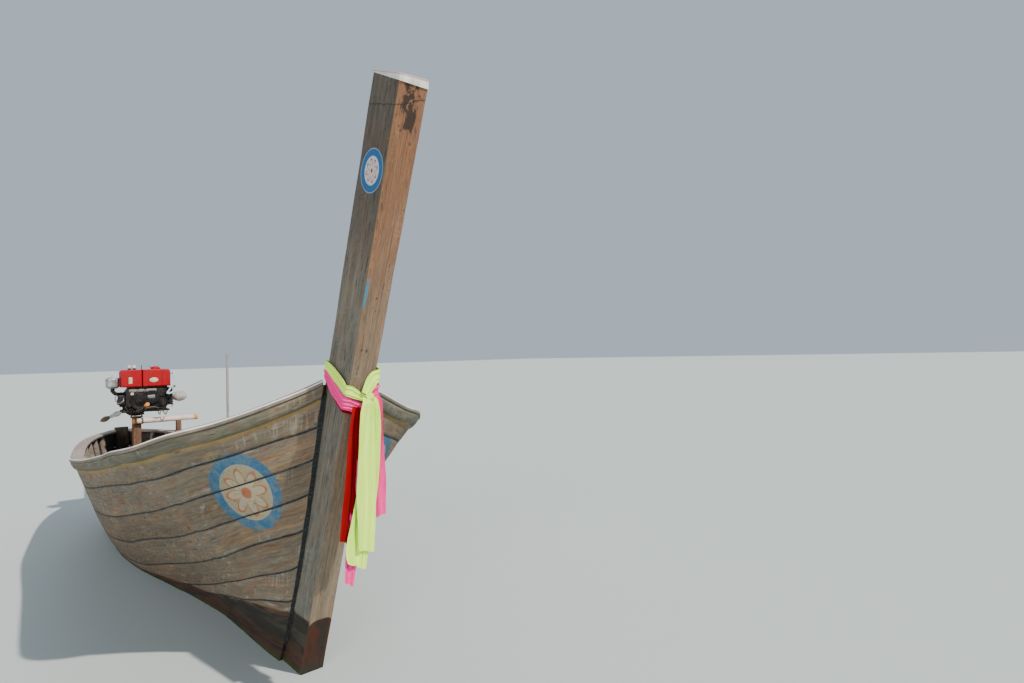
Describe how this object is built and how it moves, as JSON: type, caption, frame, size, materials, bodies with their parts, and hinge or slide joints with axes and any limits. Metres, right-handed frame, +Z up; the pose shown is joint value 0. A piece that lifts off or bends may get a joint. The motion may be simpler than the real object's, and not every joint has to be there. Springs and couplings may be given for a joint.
{
  "type": "wooden longtail boat",
  "caption": "Open planked wooden boat with a tall raked stem post tied with sashes, and a post-mounted engine at the stern that swings a long tail shaft with a propeller",
  "frame": {"origin": "on the centre line amidships, at the water's surface when the boat is afloat", "axes": "+X forward to the bow, +Y to port, +Z up"},
  "size_m": [9.6738, 1.7054, 3.37],
  "materials": {
    "wood_weathered": "bare weathered planks, grey-brown, with scuffs and stains",
    "wood_pale": "worn wood with remains of pale paint",
    "wood_dark": "dark wet wood",
    "red_paint": "gloss red enamel",
    "black_iron": "black engine paint over cast iron, oily",
    "steel": "worn bare steel",
    "rust": "rusty steel",
    "pole_pink": "pole with worn pinkish-white paint",
    "pipe_pale_blue": "pale blue plastic pipe",
    "muffler_grey": "off-white heat-stained paint",
    "bronze": "dull bronze",
    "orange_grip": "orange rubber grip",
    "lime_cloth": "thin shiny lime-yellow cloth",
    "pink_cloth": "thin shiny pink cloth",
    "red_cloth": "thin shiny red cloth"
  },
  "bodies": {
    "hull": {"plank_1_starboard": "wood_weathered", "plank_2_starboard": "wood_weathered", "plank_3_starboard": "wood_weathered", "plank_4_starboard": "wood_weathered", "plank_5_starboard": "wood_weathered", "plank_6_starboard": "wood_weathered", "plank_7_starboard": "wood_weathered", "plank_8_starboard": "wood_weathered", "plank_1_port": "wood_weathered", "plank_2_port": "wood_weathered", "plank_3_port": "wood_weathered", "plank_4_port": "wood_weathered", "plank_5_port": "wood_weathered", "plank_6_port": "wood_weathered", "plank_7_port": "wood_weathered", "plank_8_port": "wood_weathered", "rub_rail_starboard": "wood_pale", "rub_rail_port": "wood_pale", "rail_cap_starboard": "wood_pale", "rail_cap_port": "wood_pale", "stem_post": "wood_weathered", "keel": "wood_dark", "sternpost": "wood_weathered", "ribs_starboard": "wood_pale", "ribs_port": "wood_pale", "floor_timbers": "wood_pale", "thwart_forward": "wood_pale", "thwart_middle": "wood_pale", "thwart_after": "wood_pale", "stern_deck": "wood_pale", "foredeck": "wood_pale", "floorboards": "wood_pale", "engine_post": "wood_dark", "engine_beam": "pole_pink", "upright_pole": "steel", "sash_wrap_lime": "lime_cloth", "sash_wrap_pink": "pink_cloth", "sash_tail_lime": "lime_cloth", "sash_tail_red": "red_cloth", "sash_tail_pink": "pink_cloth"},
    "yoke": {"swivel_yoke": "rust"},
    "engine": {"engine_bed": "black_iron", "crankcase": "black_iron", "cylinder_head": "black_iron", "fuel_tank": "red_paint", "radiator_hopper": "red_paint", "air_cleaner": "steel", "intake_elbow": "black_iron", "muffler": "muffler_grey", "cooling_water_pipe": "pipe_pale_blue", "bell_housing": "black_iron", "tail_tube": "steel", "tiller": "black_iron", "tiller_grip": "orange_grip"},
    "propeller": {"propeller": "bronze"}
  },
  "joints": [
    {"name": "engine_swivel", "type": "hinge", "parent": "hull", "child": "yoke", "pos_m": [-2.25, 0.03, 1.1284], "axis": [0, 0, 1], "range_deg": [-40, 40]},
    {"name": "engine_tilt", "type": "hinge", "parent": "yoke", "child": "engine", "pos_m": [-2.25, 0.03, 1.168], "axis": [0.0924, 0.9957, 0], "range_deg": [-13.5, 8]},
    {"name": "propeller_spin", "type": "hinge", "parent": "engine", "child": "propeller", "pos_m": [-6.10346, 0.38747, 0.876], "axis": [-0.9904, 0.0919, -0.1035], "continuous": true}
  ]
}
